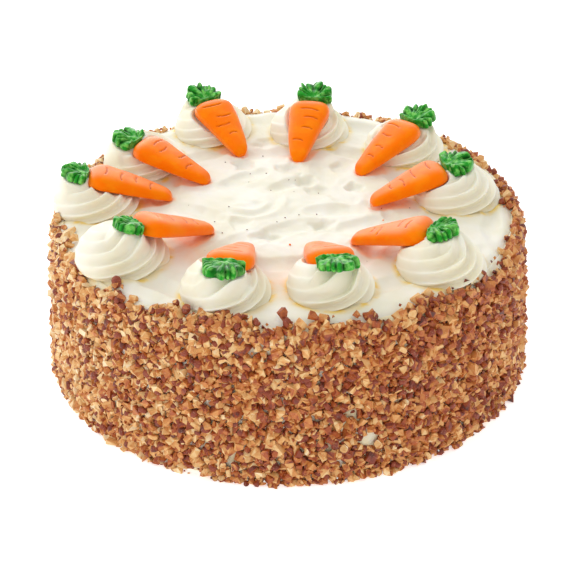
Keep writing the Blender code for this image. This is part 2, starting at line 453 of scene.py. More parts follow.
def outside_carrot(local, number):
    """How far each point is from the outlines of a carrot's body and its leaf: below 0 inside."""
    length, leaf_size = CARROT_LENGTH * CARROTS[number][LONG], CARROTS[number][LEAF]
    share = local[:, 0] / length
    body = np.abs(local[:, 1]) - carrot_half_width(np.clip(share, 0.0, 1.0))
    body = np.maximum(body, np.maximum(-local[:, 0], local[:, 0] - length))
    along, across = (local[:, 0] - length) / leaf_size, np.abs(local[:, 1]) / leaf_size
    fan = np.hypot(along - LEAF_MIDDLE, across) - LEAF_RADIUS
    fan = np.maximum(fan, np.maximum(0.8 * MM - along, across - 6.6 * MM - 0.75 * along))
    neck = np.maximum(across - LEAF_NECK, np.abs(along - 2 * MM) - 2.5 * MM)
    return body, np.minimum(fan, neck)


# %% Press the carrots into cream
def press_carrots(points, cling=0.0):
    """Pushes cream out from under every carrot, lets it swell beside them and cling to the leaves."""
    bleed = np.zeros(len(points))
    for number in range(swirl_count):
        place = carrot_place(number)
        local = in_frame(place, points)
        from_body, from_leaf = outside_carrot(local, number)
        away = np.minimum(from_body, from_leaf)
        near = 1.0 - ease(4 * MM, 7 * MM, np.abs(local[:, 2]))
        bulge = SWELL * np.exp(-(((away - SWELL_AT) / SWELL_WIDTH) ** 2))
        bulge *= near * ease(-2.5 * MM, -0.5 * MM, local[:, 2])
        local[:, 2] += bulge
        # beside the body the cream stands no higher than a brim that rises away from it
        brim = BRIM + np.maximum(from_body, 0.0) + 6 * MM * (1.0 - near)
        brim += 8 * MM * ease(2 * MM, -1 * MM, from_leaf)
        low = np.minimum(local[:, 2], brim)
        lowered = (local[:, 2] > low) & (from_body < 6 * MM)
        local[:, 2] = np.where(lowered, low, local[:, 2])
        # inside the outlines it is pressed down to a floor, and a leaf pulls up what clings to it
        inside = 1.0 - ease(*PRESS_EDGE, away)
        droop = leaf_droop(number, local[:, 0] - CARROT_LENGTH * CARROTS[number][LONG], local[:, 1])
        floor = np.where(from_leaf < from_body, LEAF_SUNK - droop, -BODY_SUNK)
        clings = LEAF_SUNK - droop - CLING_FALL * np.maximum(from_leaf, 0.0)
        pulled = cling * ease(-9 * MM, -4 * MM, local[:, 2]) * (from_leaf < 6 * MM)
        pulled *= local[:, 2] < clings
        local[:, 2] += (clings - local[:, 2]) * pulled
        sunk = np.minimum(local[:, 2], floor)
        local[:, 2] = np.where(inside > 0, local[:, 2] + (sunk - local[:, 2]) * inside, local[:, 2])
        # beside each body the cream gets an orange tint, partly dye and partly painted bounce light
        bleed = np.maximum(bleed, (1.0 - ease(*DYE_AND_BOUNCE_SPREAD, from_body)) * near)
        moved = (inside > 0) | (bulge > 0) | lowered | (pulled > 0)
        points[moved] = out_of_frame(place, local)[moved]
    return bleed


print("a carrot and its leaf reach", round((CARROT_LENGTH + LEAF_MIDDLE + LEAF_RADIUS) / MM, 1), "mm")

# %% [markdown]
# ## The cream cover
#
# The cake is a squat cone with a soft edge. A cone primitive gives the walls; a bevel rounds the
# edge; insets lay rings over the top, and a grid closes the middle, where rings would pucker. Then
# the palette knife: each pull carves a shallow trough, and a soft ridge stays where two meet.

# %% Turn the cover
TOP_SEGMENTS = 120
GRID_RADIUS = 42 * MM
RING_WIDTH = 3.6 * MM

bpy.ops.mesh.primitive_cone_add(
    vertices=TOP_SEGMENTS, radius1=base_radius, radius2=top_radius, depth=cream_top,
    location=(0, 0, cream_top / 2), end_fill_type="NGON")
cover = name_it("cream_cover")
bpy.ops.object.transform_apply(location=True)
pick(cover, "EDGE", lambda point: point.z > cream_top - HAIR)
bpy.ops.mesh.bevel(offset=edge_round, segments=4, profile=0.5, affect="EDGES")
for height in (24 * MM, 48 * MM):
    slice_level(height)
pick(cover, "FACE", lambda middle: middle.z < HAIR)
bpy.ops.mesh.inset(thickness=1.5 * MM)
bpy.ops.mesh.inset(thickness=20 * MM)
bpy.ops.mesh.delete(type="ONLY_FACE")
pick(cover, "EDGE", lambda point: point.z < HAIR and point.xy.length < base_radius - 18 * MM)
bpy.ops.mesh.fill_grid(span=TOP_SEGMENTS // 4)
pick(cover, "FACE", lambda middle: middle.z > cream_top - HAIR)
flat_radius = top_radius - edge_round
ring_count = int((flat_radius - GRID_RADIUS) / RING_WIDTH)
for ring in range(ring_count):
    bpy.ops.mesh.inset(thickness=RING_WIDTH)
bpy.ops.mesh.delete(type="ONLY_FACE")
inner = flat_radius - ring_count * RING_WIDTH
pick(cover, "EDGE", lambda point: point.z > cream_top - HAIR and point.xy.length < inner + 1 * MM)
bpy.ops.mesh.fill_grid(span=TOP_SEGMENTS // 4)
face_outwards()
refine(cover, 2)
print("cover:", len(cover.data.polygons), "faces")

# %% Plan the knife's pulls
# azimuth, distance, heading, length, width and depth in mm: each pull carves a shallow trough
STROKES = (
    (-10, 30, 8, 46, 15, 1.1), (-28, 45, 20, 44, 13, 1.0), (25, 28, -50, 34, 12, 1.0),
    (-80, 24, 24, 40, 14, 1.1), (-50, 62, 66, 42, 13, 1.0), (62, 40, 100, 34, 13, 1.1),
    (-125, 56, 45, 44, 15, 1.0), (165, 66, 80, 36, 14, 0.9), (98, 62, 12, 40, 15, 1.0),
    (128, 74, 30, 34, 12, 1.0), (62, 70, -34, 38, 13, 1.0), (22, 64, 100, 38, 13, 1.0),
    (-14, 74, 66, 40, 15, 1.0), (-92, 60, 4, 40, 13, 1.0), (-62, 92, 32, 44, 12, 0.9),
    (-126, 98, -38, 40, 12, 0.9), (-12, 104, 82, 42, 11, 0.9), (128, 38, 40, 36, 13, 1.0),
    (-170, 44, -30, 34, 12, 0.9), (84, 24, 30, 30, 12, 1.0), (30, 98, 120, 40, 11, 0.9),
    (-35, 104, 60, 36, 11, 0.8), (160, 100, 70, 36, 11, 0.8), (62, 100, -20, 36, 11, 0.9),
)
KNIFE_PRESSURE = 2.0  # how hard it presses, against the depths above
RIDGE_SOFT = 0.12 * MM  # how soft the ridge stays where two pulls meet
KNIFE_SPARES = 0.9 * MM  # how far the cream stands above its level where no pull goes
DEEPEST, HIGHEST = -3.4 * MM, 1.7 * MM
# azimuth, distance, radius and depth in mm of the dents that a lifted knife or spoon leaves
DENTS = (
    (68, 31, 7.0, 1.4), (27, 40, 6.2, 1.3), (57, 53, 8.0, 1.1), (116, 52, 7.0, 1.3), (86, 42, 6.4, 1.2),
    (-51, 29, 7.5, 1.1), (-105, 34, 8.0, 1.1), (-12, 52, 4.5, 0.8), (-140, 30, 8.0, 0.8),
    (46, 22, 7.0, 0.9), (100, 74, 8.0, 1.0),
)
DENT_PRESSURE = 2.3
SPOON_MARK = (167, 21.5)  # azimuth and distance in mm of the place where a spoon was turned
# radius, half width and depth in mm, then which way the arc faces and how far it goes, in degrees
SPOON_ARCS = ((11.0, 2.2, 1.0, -75, 75), (19.5, 2.4, 1.2, -60, 95))


# %% Shape a pull, a dent and a spoon mark
def stroke_carve(points, stroke, waver):
    """How deep one pull of the knife carves: deepest along its middle, nothing outside it."""
    azimuth, distance, heading, length, width, depth = stroke
    place = Matrix.Translation(round_the_cake(azimuth, distance * MM)) @ Matrix.Rotation(
        math.radians(heading), 4, "Z")
    local = in_frame(place, points) / MM
    across = (local[:, 1] + 2.0 * waver) / (0.5 * width)
    along = local[:, 0] / (0.5 * length)
    return KNIFE_PRESSURE * depth * MM * (1.0 - across**2 - np.abs(along) ** 3)


def dent_height(points, dent, waver):
    """A soft hollow, deeper on its far left side where the tool was pressed in."""
    azimuth, distance, radius, depth = dent
    x, y = from_spot(points, azimuth, distance)
    away = np.hypot(x, y) / (0.80 * radius * MM * (1 + 0.7 * waver))
    tilt = 0.9 - 0.4 * (x - y) / (radius * MM)
    return -DENT_PRESSURE * depth * MM * np.exp(-(away**3.6)) * tilt


def spoon_height(points, waver):
    """The arcs that a turned spoon leaves, each a ridge with a trough inside it."""
    x, y = from_spot(points, *SPOON_MARK)
    away = np.hypot(x, y) / MM + 1.2 * waver
    turn = np.degrees(np.arctan2(y, x))
    height = np.zeros(len(points))
    for radius, half_width, depth, heading, spread in SPOON_ARCS:
        off = np.abs((turn - heading + 180) % 360 - 180)
        fade = 1.0 - ease(0.55 * spread, spread, off)
        ridge = np.exp(-(((away - radius) / half_width) ** 2))
        trough = np.exp(-(((away - radius + 1.9 * half_width) / (1.3 * half_width)) ** 2))
        height += depth * MM * fade * (0.8 * ridge - 0.7 * trough)
    return height


# %% Draw the palette knife over it
def raise_rim(points):
    """Pressing the nuts on pushes the cream up at the edge, most at the back."""
    turn = np.arctan2(points[:, 1], points[:, 0])
    outward = np.hypot(points[:, 0], points[:, 1])
    back = np.clip(np.sin(turn), 0, 1) ** 2
    lip = ease(97 * MM, 108 * MM, outward) * ease(cream_top - 14 * MM, cream_top - 3 * MM, points[:, 2])
    points[:, 2] += lip * (0.4 + 2.2 * back) * MM


cream = points_of(cover)
from_middle = np.hypot(cream[:, 0], cream[:, 1])
on_top = ease(cream_top - 3 * MM, cream_top - 0.3 * MM, cream[:, 2])
inland = on_top * (1.0 - ease(104 * MM, 115 * MM, from_middle))
wide, narrow = lumps(cream, 13 * MM, 1), lumps(cream, 5 * MM, 2)
carved = np.zeros(len(cream))
for stroke in STROKES:
    depth = stroke_carve(cream, stroke, wide)
    carved = RIDGE_SOFT * np.logaddexp(carved / RIDGE_SOFT, depth / RIDGE_SOFT)
relief = KNIFE_SPARES - carved + sum(dent_height(cream, dent, narrow) for dent in DENTS)
relief += spoon_height(cream, wide) + 0.6 * MM * wide + 0.4 * MM * narrow
relief = np.clip(relief, DEEPEST, HIGHEST)
cream[:, 2] += relief * inland
rim = on_top * ease(98 * MM, 108 * MM, from_middle)
cream[:, 2] += rim * 0.6 * MM * lumps(cream, 9 * MM, 3)
raise_rim(cream)
print(f"the knife moved the cream by {relief.min() / MM:.1f} to {relief.max() / MM:.1f} mm")

# %% Press in the carrots and mark the creases
# azimuth, distance and radius in mm, and how strong each peach patch painted on the cover is
PEACH_PATCHES = ((-92, 80, 15, 0.34), (-132, 66, 9, 0.30), (-44, 62, 10, 0.22), (-118, 62, 9, 0.2))
DYE_AND_BOUNCE_ON_COVER, DYE_AND_BOUNCE_ON_SWIRLS = 0.9, 0.12


def near_a_swirl(points):
    """1 at the foot of a swirl, fading to 0 a few millimetres out."""
    crease = np.zeros(len(points))
    for azimuth, distance, radius, _ in SWIRLS:
        away = np.hypot(*from_spot(points, azimuth, distance)) - (radius - 0.3) * MM
        crease = np.maximum(crease, 1.0 - ease(0.0, 3.4 * MM, np.abs(away)))
    return crease


def peach_patches(points):
    """How strong the listed peach patches are at each point."""
    peach = np.zeros(len(points))
    for azimuth, distance, radius, strength in PEACH_PATCHES:
        away = np.hypot(*from_spot(points, azimuth, distance)) / (radius * MM)
        peach = np.maximum(peach, strength * np.exp(-(away**2)) * (1 + 0.6 * narrow))
    return peach


bleed = press_carrots(cream)
set_points(cover, cream)
# the orange tint beside the carrots, partly dye and partly painted bounce light, and the peach patches
mark(cover, "bleed", np.maximum(DYE_AND_BOUNCE_ON_COVER * bleed, peach_patches(cream)))
# painted golden shade round the feet of the swirls, on the top
mark(cover, "crease", near_a_swirl(cream) * on_top)
set_down(cover, spread_cream, "cream", "cake")
print("cream_cover stands for the cake's solid")

# %% [markdown]
# ## The cream under the nuts
#
# Nuts only hold on something sticky, so the side has its own layer of cream, a closed ring that
# rolls a little over the edge and shows wherever the nuts leave a gap. A tube is extruded loop by
# loop round the edge and back down inside, and its two ends are bridged.

# %% Roll the side cream
SIDE_CREAM = 1.7 * MM  # how thick it is, from the cover outwards
edge_middle = Vector((top_radius - edge_round, 0, cream_top - edge_round))
shoulder = edge_middle.z


def side_radius(height):
    """The cover's radius on its straight side."""
    return base_radius + (top_radius - base_radius) * height / shoulder


def pull_loop(start, rings):
    """Extrudes the selected loop through rings given as radius and height."""
    radius, height = start
    for next_radius, next_height in rings:
        bpy.ops.mesh.extrude_edges_move(TRANSFORM_OT_translate={"value": (0, 0, next_height - height)})
        share = next_radius / radius
        bpy.ops.transform.resize(value=(share, share, 1), center_override=(0, 0, 0))
        radius, height = next_radius, next_height


bpy.ops.mesh.primitive_cone_add(
    vertices=180, radius1=base_radius + SIDE_CREAM, radius2=top_radius + SIDE_CREAM, depth=shoulder,
    location=(0, 0, shoulder / 2), end_fill_type="NOTHING")
side_cream = name_it("side_cream")
bpy.ops.object.transform_apply(location=True)
pick(side_cream, "EDGE", lambda point: point.z > shoulder - HAIR)
roll = []
for degrees in (12, 24, 36, 48, 56):
    turn = math.radians(degrees)
    reach = edge_round + gap + SIDE_CREAM * (1 - degrees / 60)
    roll.append((edge_middle.x + reach * math.cos(turn), edge_middle.z + reach * math.sin(turn)))
inside = [(edge_middle.x + 4 * MM, edge_middle.z + 2 * MM), (top_radius - 1 * MM, shoulder - 6 * MM),
          (base_radius - 1 * MM, 0.0)]
pull_loop((top_radius + SIDE_CREAM, shoulder), roll + inside)
pick(side_cream, "EDGE", lambda point: point.z < HAIR)
bpy.ops.mesh.bridge_edge_loops()
for height in range(6, 72, 6):
    slice_level(height * MM)
face_outwards()
refine(side_cream, 1)
skin = points_of(side_cream)
outward = np.hypot(skin[:, 0], skin[:, 1])
uneven = 0.9 * MM * lumps(skin, 9 * MM, 4) + 0.35 * MM * lumps(skin, 3.5 * MM, 5)
uneven *= ease(0.4 * MM, 1.2 * MM, outward - side_radius(np.minimum(skin[:, 2], shoulder)))
skin[:, :2] *= (1 + uneven / outward)[:, None]
raise_rim(skin)
set_points(side_cream, skin)
# painted golden shade all over the cream between the nuts
mark(side_cream, "crease", np.full(len(skin), 0.35))
set_down(side_cream, spread_cream, "cream", "nut_coating")
print("side_cream:", len(side_cream.data.polygons), "faces")

# %% [markdown]
# ## Chopped nuts
#
# Where a knife cracks a roasted nut the face is flat and pale; what was outside is round and
# brown. So a bit is a small ball or block, cut by a few planes. A dozen or so are copied thousands
# of times, turned every way, so each one has few faces.

# %% Crack a few nuts
chance = np.random.default_rng(12)


def crack(name, whole, cuts):
    """One bit of nut, about 1 across: its corners, its triangles and which of them are skin."""
    if whole == "ball":
        bpy.ops.mesh.primitive_ico_sphere_add(subdivisions=2, radius=0.62)
    else:
        bpy.ops.mesh.primitive_cube_add(size=0.95)
    bit = name_it(name)
    stretch = (1.0, chance.uniform(0.78, 1.0), chance.uniform(0.6, 0.92))
    bit.scale = stretch
    bpy.ops.object.transform_apply(scale=True)
    bpy.ops.object.mode_set(mode="EDIT")
    for _ in range(cuts):
        way = Vector(chance.normal(size=3)).normalized()
        bpy.ops.mesh.select_all(action="SELECT")
        bpy.ops.mesh.bisect(plane_co=way * chance.uniform(0.14, 0.40), plane_no=way,
                            use_fill=True, clear_outer=True)
    bpy.ops.mesh.select_all(action="SELECT")
    bpy.ops.mesh.dissolve_limited(angle_limit=math.radians(14 if whole == "ball" else 2))
    bpy.ops.mesh.select_all(action="SELECT")
    bpy.ops.mesh.quads_convert_to_tris()
    bpy.ops.mesh.normals_make_consistent(inside=False)
    bpy.ops.object.mode_set(mode="OBJECT")
    corners = points_of(bit)
    corners -= (corners.max(0) + corners.min(0)) / 2
    corners /= np.ptp(corners, axis=0).max()
    faces = np.array([list(face.vertices) for face in bit.data.polygons])
    middles = np.array([face.center for face in bit.data.polygons]) / np.array(stretch)
    outer = np.linalg.norm(middles, axis=1) > 0.54
    skins = outer.astype(float) if whole == "ball" else chance.random(len(faces)) * 0.25
    bpy.data.objects.remove(bit)
    return corners, faces, skins


skinned_bits = [crack(f"skinned_bit_{i}", "ball", 4) for i in range(6)]
kernel_bits = [crack(f"kernel_bit_{i}", "block", 5) for i in range(8)]
print("triangles a bit:", [len(bit[1]) for bit in skinned_bits + kernel_bits])

# %% [markdown]
# ## The nuts' colours
#
# Each face carries a mark that says how brown it is: its bit's own roast, far more on the skin,
# and painted shade added to it: darker on faces deep down against the cream and on the side away
# from the windows. A ramp turns it into colour, as an oven would: ivory, gold, toffee, rust, near maroon.

# %% Roast the nuts
def nut_finish(name, stops, skin_gloss):
    nut = Finish(name)
    roast = nut.marked("roast")
    mottle = nut.grain(1.6 * MM, detail=3.0, roughness=0.6)
    toast = nut.between(nut.grain(4 * MM, detail=1.0), 0.45, 0.75)
    colour = nut.ramp(roast + 0.20 * (mottle - 0.5) + 0.16 * toast, stops)
    fleck = nut.between(nut.grain(0.6 * MM, detail=2.0), 0.62, 0.72)
    colour = nut.blend(0.28 * fleck, colour, paint(250, 226, 190))
    height = mottle + 0.5 * nut.grain(0.5 * MM, detail=2.0)
    return nut.done(
        base_color=colour,
        roughness=0.62 - skin_gloss * roast,
        subsurface_weight=0.05,
        subsurface_radius=(1.0, 0.6, 0.3),
        subsurface_scale=0.8 * MM,
        normal=nut.bump(height, 0.22 * MM, 0.7),
    )


ROAST = [
    (0.00, paint(245, 227, 190)), (0.18, paint(235, 199, 142)), (0.34, paint(222, 168, 102)),
    (0.50, paint(202, 129, 62)), (0.66, paint(172, 84, 34)), (0.82, paint(134, 50, 22)),
    (1.00, paint(80, 28, 17)),
]
roasted_nut = nut_finish("roasted_nut", ROAST, skin_gloss=0.22)

# %% [markdown]
# ## The coat of nuts
#
# Nuts pressed on by the handful lie one or two deep, stick out every way, end in a ragged line
# over the edge, and leave a few bare patches. The bits are laid in shaken rows, so that they cover
# the side without piles: first a layer in the cream, then loose ones, then crumbs in the cracks.

# %% Find places on the side
slope = math.hypot(base_radius - top_radius, shoulder)
COAT_TURNS = 3.0 * MM  # the middle of the nuts, outside the cover


def side_point(azimuth, along, lift):
    """Points this far up the side and then over the edge, lifted outwards; arrays in, points out."""
    angle = np.clip((along - slope) / (edge_round + COAT_TURNS), 0.0, math.pi / 2)
    beyond = np.maximum(along - slope - (edge_round + COAT_TURNS) * math.pi / 2, 0.0)
    share = np.clip(along / slope, 0.0, 1.0)
    radius = np.where(along < slope, base_radius + (top_radius - base_radius) * share + lift,
                      edge_middle.x - beyond + (edge_round + lift) * np.cos(angle))
    height = np.where(along < slope, along, edge_middle.z + (edge_round + lift) * np.sin(angle))
    return np.stack([radius * np.cos(azimuth), radius * np.sin(azimuth), height], axis=1)


def hem_line(azimuth):
    """How far up the nuts go: a ragged line, a little higher at the front."""
    waves = ((3, 0.9, 0.4), (7, 0.8, 2.1), (13, 0.9, 1.0), (23, 0.8, 5.0), (41, 0.6, 3.3))
    wave = sum(size * np.sin(count * azimuth + shift) for count, size, shift in waves)
    front = np.clip(-np.sin(azimuth), 0, 1) ** 6
    return slope + (5.8 + 1.6 * wave + 2.6 * front) * MM


def shaken_rows(spacing, first, last):
    """Azimuths and distances up the side in rows, each place shaken from its row."""
    rows = np.arange(first, last, spacing)
    across = int(math.tau * base_radius / spacing)
    along, column = np.meshgrid(rows, np.arange(across) + 0.0, indexing="ij")
    column += 0.5 * (np.arange(len(rows)) % 2)[:, None]
    azimuth = (column + chance.uniform(-0.46, 0.46, column.shape)) * math.tau / across
    along = along + chance.uniform(-0.46, 0.46, along.shape) * spacing
    return azimuth.ravel(), along.ravel()


def keep_within_hem(azimuth, along, stray):
    """Drops what lies above the hem line, apart from a few strays, and what lies in a bare patch."""
    above = along - hem_line(azimuth) - chance.normal(0, 1.2 * MM, len(along))
    keep = (above < 0) | (chance.random(len(along)) < stray * np.exp(-np.maximum(above, 0) / (2.2 * MM)))
    middles = side_point(azimuth, along, 0.0)
    bare = lumps(middles, 8 * MM, 9) > 0.50
    keep &= ~(bare & (chance.random(len(along)) < 0.7))
    return azimuth[keep], along[keep]


# %% Copy bits into a heap
def turned_every_way(count):
    """Random turns, as rotation matrices."""
    turns = chance.normal(size=(count, 4))
    w, x, y, z = (turns / np.linalg.norm(turns, axis=1)[:, None]).T
    rows = [[1 - 2 * (y * y + z * z), 2 * (x * y - z * w), 2 * (x * z + y * w)],
            [2 * (x * y + z * w), 1 - 2 * (x * x + z * z), 2 * (y * z - x * w)],
            [2 * (x * z - y * w), 2 * (y * z + x * w), 1 - 2 * (x * x + y * y)]]
    return np.moveaxis(np.array(rows), 2, 0)


SKIN_ROAST = 0.80
PAINTED_SHADE_SIDE = math.radians(-45)  # the azimuth where painted shade makes the nuts brownest
PAINTED_DEEP_SHADE = 0.60  # painted shade: how much darker a face is painted that lies deep down against the cream


def heap(name, bits, middles, sizes, roasts):
    """One piece made of a copy of some bit at every place, each with its own size, turn and roast, with
    painted shade added.
    """
    turns = turned_every_way(len(middles))
    which = chance.integers(0, len(bits), len(middles))
    corners, triangles, roast, used = [], [], [], 0
    surface = side_radius(np.clip(middles[:, 2], 0, shoulder)) + SIDE_CREAM
    for number, (shape, faces, skins) in enumerate(bits):
        mine = which == number
        count = int(mine.sum())
        placed = np.einsum("kij,nj->kni", turns[mine], shape) * sizes[mine][:, None, None]
        corners.append((placed + middles[mine][:, None, :]).reshape(-1, 3))
        first = used + len(shape) * np.arange(count)
        triangles.append((faces[None, :, :] + first[:, None, None]).reshape(-1, 3))
        facing = np.arctan2(middles[mine][:, 1], middles[mine][:, 0])
        # painted shade: nuts browner towards the front right, away from the windows, and paler at the back
        painted_side_shade = np.maximum(0.02 + 0.18 * np.cos(facing - PAINTED_SHADE_SIDE), -0.10)
        own = (roasts[mine] + painted_side_shade)[:, None] + chance.normal(0, 0.09, (count, len(faces)))
        face_middles = placed[:, faces].mean(axis=2) + middles[mine][:, None, :]
        above = np.hypot(face_middles[..., 0], face_middles[..., 1]) - surface[mine][:, None]
        on_side = 1.0 - ease(shoulder - 5 * MM, shoulder, face_middles[..., 2])
        # painted shade: faces deep down against the cream are darkened
        own += PAINTED_DEEP_SHADE * ease(1.7 * MM, -1.0 * MM, above) * on_side
        roast.append(np.clip(own + (SKIN_ROAST - own) * skins[None, :], 0, 1).ravel())
        used += count * len(shape)
    corners = np.concatenate(corners)
    raise_rim(corners)
    corners[:, 2] = np.maximum(corners[:, 2], 0.0)  # nothing hangs below the base
    mesh = bpy.data.meshes.new(name)
    mesh.from_pydata(corners.tolist(), [], np.concatenate(triangles).tolist())
    piece = bpy.data.objects.new(name, mesh)
    bpy.context.scene.collection.objects.link(piece)
    mark(piece, "roast", np.concatenate(roast), "FACE")
    set_down(piece, roasted_nut, "chopped_nuts", smooth=False)
    print(f"{name}: {len(middles)} bits, {len(mesh.polygons)} triangles")


# %% Press the nuts on
def lay_nuts(spacing, smallest, largest, depth, stray, top):
    """Places and sizes for one layer: depth is how much of a bit is under the cream."""
    azimuth, along = keep_within_hem(*shaken_rows(spacing, 1.2 * MM, slope + top), stray)
    sizes = chance.triangular(smallest, smallest + 0.4 * (largest - smallest), largest, len(along))
    lift = SIDE_CREAM * (1 - 0.6 * ease(slope, slope + 8 * MM, along)) + sizes * (0.5 - depth)
    return side_point(azimuth, along, lift), sizes


middles, sizes = lay_nuts(3.15 * MM, 3.2 * MM, 6.4 * MM, depth=0.36, stray=0.5, top=16 * MM)
draw = chance.random(len(sizes))
# name, bits, the part of the draw from and to, how much bigger, then the palest and brownest roast
KINDS = (("nuts_pale", kernel_bits, 0.0, 0.44, 1.0, 0.0, 0.24),
         ("nuts_golden", kernel_bits, 0.44, 0.79, 1.0, 0.24, 0.56),
         ("nuts_skinned", skinned_bits, 0.79, 1.0, 1.1, 0.1, 0.5))
for name, bits, first, last, bigger, palest, brownest in KINDS:
    mine = (draw >= first) & (draw < last)
    heap(name, bits, middles[mine], sizes[mine] * bigger, chance.uniform(palest, brownest, mine.sum()))
middles, sizes = lay_nuts(4.35 * MM, 2.6 * MM, 5.4 * MM, depth=-0.02, stray=0.5, top=14 * MM)
heap("nuts_loose", skinned_bits + kernel_bits, middles, sizes, chance.uniform(0.02, 0.6, len(sizes)))
middles, sizes = lay_nuts(3.2 * MM, 0.9 * MM, 2.0 * MM, depth=-0.6, stray=0.8, top=22 * MM)
heap("nut_crumbs", kernel_bits, middles, sizes, chance.uniform(0.1, 0.8, len(sizes)))

# %% [markdown]
# ## The piped swirls
#
# A star nozzle turned on the spot leaves a low dome whose ridges wind up to a smooth cap. A ring
# drawn upwards by extrude, narrowed at each step, makes the dome. The valleys are then pressed in
# along its normals, steep on one side of each crest and gentle on the other. One swirl is copied
# ten times.

# %% Pipe one swirl
SWIRL_HEIGHT = 17.5 * MM
USUAL_RADIUS = 22.4 * MM
RIDGES = 6
POINTS_A_RIDGE = 24
RIDGE_DEPTH = 3.2 * MM
CRISP_SIDE = math.radians(-20)  # the azimuth where the ridges stand out most
FAINT = 0.08  # how much of them shows on the opposite side
LEANS_LEFT = 2.5  # how far the cap leans over, in mm
# height and radius of the swirl on its way up, as shares, and how far it has turned, in degrees
RISE = ((0.00, 0.03, 0.14, 0.34, 0.55, 0.73, 0.87, 0.96, 1.00, 1.00),
        (0.96, 1.00, 1.00, 0.96, 0.87, 0.74, 0.58, 0.40, 0.20, 0.03),
        (0.0, 5.0, 30.0, 74.0, 118.0, 158.0, 192.0, 222.0, 244.0, 250.0))
SWIRL_STEPS = 64


def swirl_rings():
    """Rings evenly spaced along the swirl's outline, as height, radius and turn."""
    heights, radii, turns = (np.array(row) for row in RISE)
    length = np.concatenate([[0], np.cumsum(np.hypot(np.diff(heights) * 0.8, np.diff(radii)))])
    steps = np.linspace(0, length[-1], SWIRL_STEPS)
    rings = [np.interp(steps, length, row) for row in (heights, radii, turns)]
    smooth = [np.convolve(np.pad(row, 3, mode="edge"), np.ones(7) / 7, mode="valid") for row in rings]
    return [np.concatenate([[row[0]], blurred[1:-1], [row[-1]]]) for row, blurred in zip(rings, smooth)]


heights, radii, turns = swirl_rings()
heights += np.linspace(0, 0.004, SWIRL_STEPS)  # so that no two rings share a height
swirl_master = draw_up("swirl", RIDGES * POINTS_A_RIDGE, heights, radii)

# %% Wind the ridges
dome = points_of(swirl_master)
swirl_ring = np.abs(dome[:, 2][:, None] - heights[None, :]).argmin(axis=1)
around = np.arctan2(dome[:, 1], dome[:, 0])
swirl_reach = np.hypot(dome[:, 0], dome[:, 1])
off_crest = ((around * RIDGES / math.tau + 0.5) % 1.0) * 2 - 1  # 0 on a crest, -1 and 1 in the valleys
steep = np.where(off_crest < 0, 0.28, 0.55)
swirl_valley = 1.0 - np.exp(-((off_crest / steep) ** 2))
rising, widening = np.gradient(heights * SWIRL_HEIGHT), np.gradient(radii * USUAL_RADIUS)
outwards = (rising / np.hypot(rising, widening))[swirl_ring]
upwards = (-widening / np.hypot(rising, widening))[swirl_ring]
swirl_ridged = (ease(0.12, 0.42, radii) * (0.55 + 0.45 * ease(0.0, 0.12, heights)))[swirl_ring]
swirl_height = heights[swirl_ring]
swirl_wound = around + np.radians(turns[swirl_ring])
print(f"ridges {RIDGE_DEPTH / MM:.1f} mm deep, and they wind {turns[-1]:.0f} degrees")


def piped(radius, start):
    """The swirl's points at this size, begun at this turn."""
    side = np.cos(swirl_wound + start - CRISP_SIDE)
    shows = FAINT + (1 - FAINT) * ease(-0.4, 0.55, side)
    depth = RIDGE_DEPTH * swirl_ridged * shows * swirl_valley
    out = swirl_reach * radius - depth * outwards
    up = swirl_height * SWIRL_HEIGHT - depth * upwards * ease(0.0, 0.1, swirl_height)
    turn = swirl_wound + start
    return np.stack([out * np.cos(turn), out * np.sin(turn), up], axis=1)


# %% Copy it ten times
for number, (azimuth, distance, radius, start) in enumerate(SWIRLS):
    swirl = copy_of(swirl_master, f"swirl_{number + 1:02d}")
    points = piped(radius * MM, math.radians(start))
    points += np.array(round_the_cake(azimuth, distance * MM, cream_top - 0.5 * MM))
    above = np.clip((points[:, 2] - cream_top) / SWIRL_HEIGHT, 0, 1)
    points[:, 2] += above * 0.9 * MM * lumps(points, 16 * MM, 20 + number)
    points[:, 0] += above * (0.8 * lumps(points, 13 * MM, 40 + number) - LEANS_LEFT) * MM
    points[:, 1] += above * 0.8 * MM * lumps(points, 13 * MM, 60 + number)
    bleed = press_carrots(points, cling=1.0)
    set_points(swirl, points)
    # a little of the orange tint, partly dye and partly painted bounce light from the carrots
    mark(swirl, "bleed", DYE_AND_BOUNCE_ON_SWIRLS * bleed)
    # painted golden shade at each swirl's foot, most in its valleys
    foot = 1.0 - ease(0.03, 0.16, swirl_height)
    folds = ease(0.1, 0.7, lumps(points, 9 * MM, 90 + number))
    mark(swirl, "crease", np.clip(foot * (0.3 + 0.7 * swirl_valley) * (0.35 + folds), 0, 1))
    # painted shade in the valleys between the ridges
    mark(swirl, "fold", 0.22 * swirl_valley * swirl_ridged)
    set_down(swirl, piped_cream, "piped_cream", f"rosette_{number + 1:02d}")
bpy.data.objects.remove(swirl_master)
print(swirl_count, "swirls piped")

# %% [markdown]
# ## The marzipan carrots
#
# The carrots are pressed in a mould: flat at the back, rounded on top, with a few cuts across.
# A ring with a flat back is drawn out along the carrot, wider and thicker as it goes, and refined
# until the cuts can be real grooves. Marzipan is dense and a little waxy.

